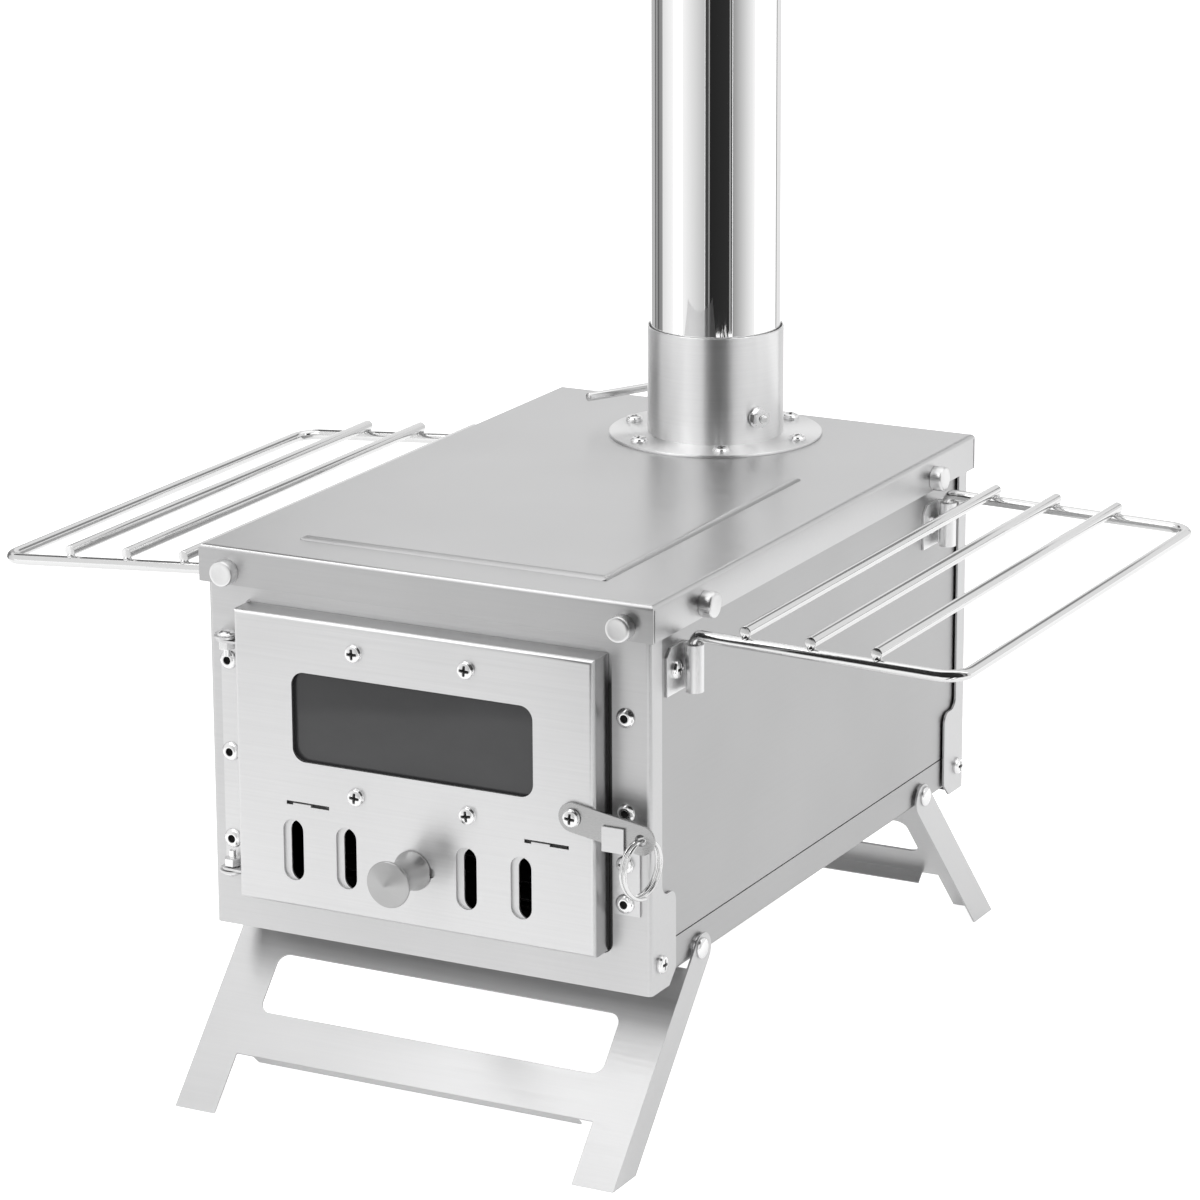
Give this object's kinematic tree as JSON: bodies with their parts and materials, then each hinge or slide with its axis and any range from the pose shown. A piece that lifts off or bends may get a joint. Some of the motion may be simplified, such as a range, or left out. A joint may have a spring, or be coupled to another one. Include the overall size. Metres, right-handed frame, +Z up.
{
  "type": "tent wood stove",
  "caption": "Folding stainless tent wood stove: box firebox with glazed door, air slider, lift-off side racks, splayed folding legs and a flue with a butterfly damper.",
  "frame": {"origin": "on the ground, midway between the two long sides and midway between the lid's front and rear edges", "axes": "+Z up, -Y towards the door, +X to the right seen from the door"},
  "size_m": [0.4594, 0.39, 0.5855],
  "materials": {
    "body_steel": "satin brushed",
    "door_steel": "satin brushed",
    "grate_steel": "dull, heat tinted",
    "collar_steel": "brushed round",
    "pipe_steel": "mirror polished",
    "fastener_steel": "bright",
    "wire_steel": "bright drawn wire",
    "knob_steel": "turned, polished",
    "latch_steel": "satin",
    "window_glass": "clear ceramic glass over a dark firebox",
    "gasket_fibre": "woven fibre tape"
  },
  "bodies": {
    "stove_body": {"bottom_pan": "body_steel", "side_panel_left": "body_steel", "side_panel_right": "body_steel", "front_panel": "body_steel", "rear_panel": "body_steel", "door_stop_frame": "door_steel", "top_plate": "body_steel", "lid_studs": "fastener_steel", "panel_screws": "fastener_steel", "fire_grate": "grate_steel", "flue_flange": "collar_steel", "flue_collar": "collar_steel", "flange_screws": "fastener_steel", "hinge_plate": "door_steel", "hinge_rivets": "fastener_steel", "hinge_pin_top": "fastener_steel", "hinge_pin_bottom": "fastener_steel", "keeper": "door_steel", "keeper_rivets": "fastener_steel", "keeper_screw": "fastener_steel", "rack_bracket_front_left": "door_steel", "rack_bracket_front_right": "door_steel", "rack_bracket_rear_left": "door_steel", "rack_bracket_rear_right": "door_steel", "bracket_screws": "fastener_steel", "leg_pivots": "fastener_steel", "leg_washers": "fastener_steel"},
    "door": {"door_pan": "door_steel", "window_gasket": "gasket_fibre", "window_glass": "window_glass", "glass_retainer": "door_steel", "window_screws": "fastener_steel", "window_nuts": "fastener_steel", "latch_pivot": "fastener_steel"},
    "air_slider": {"slider_plate": "door_steel", "air_knob": "knob_steel", "knob_screw": "fastener_steel"},
    "latch": {"latch_strap": "latch_steel"},
    "ring": {"split_ring": "wire_steel"},
    "front_legs": {"front_leg_frame": "body_steel"},
    "rear_legs": {"rear_leg_frame": "body_steel"},
    "damper": {"damper_rod": "wire_steel", "damper_plate": "grate_steel", "damper_nut": "fastener_steel", "damper_plate_screws": "fastener_steel"},
    "rack_left": {"rack_wire_left": "wire_steel", "rack_bars_left": "wire_steel"},
    "rack_right": {"rack_wire_right": "wire_steel", "rack_bars_right": "wire_steel"},
    "chimney": {"chimney_section": "pipe_steel"}
  },
  "joints": [
    {"name": "door_swing", "type": "hinge", "parent": "stove_body", "child": "door", "pos_m": [-0.092, -0.1644, 0.15], "axis": [0, 0, -1], "range_deg": [0, 150]},
    {"name": "latch_turn", "type": "hinge", "parent": "door", "child": "latch", "pos_m": [0.0757, -0.1717, 0.1498], "axis": [0, -1, 0], "range_deg": [0, 75]},
    {"name": "ring_swing", "type": "hinge", "parent": "latch", "child": "ring", "pos_m": [0.10679, -0.1717, 0.14471], "axis": [0, 1, 0], "range_deg": [-10, 20]},
    {"name": "air_slide", "type": "slide", "parent": "door", "child": "air_slider", "axis": [1, 0, 0], "range_m": [-0.0033, 0.008]},
    {"name": "front_leg_fold", "type": "hinge", "parent": "stove_body", "child": "front_legs", "pos_m": [0, -0.114, 0.08], "axis": [1, 0, 0], "range_deg": [0, 127]},
    {"name": "rear_leg_fold", "type": "hinge", "parent": "stove_body", "child": "rear_legs", "pos_m": [0, 0.114, 0.08], "axis": [-1, 0, 0], "range_deg": [0, 127]},
    {"name": "damper_turn", "type": "hinge", "parent": "stove_body", "child": "damper", "pos_m": [0, 0.1106, 0.2532], "axis": [-0.8934, 0.4493, 0], "range_deg": [0, 90]},
    {"name": "rack_right_lift", "type": "slide", "parent": "stove_body", "child": "rack_right", "axis": [0, 0, 1], "range_m": [0, 0.03]},
    {"name": "rack_left_lift", "type": "slide", "parent": "stove_body", "child": "rack_left", "axis": [0, 0, 1], "range_m": [0, 0.03]},
    {"name": "chimney_lift", "type": "slide", "parent": "stove_body", "child": "chimney", "axis": [0, 0, 1], "range_m": [0, 0.06]}
  ]
}
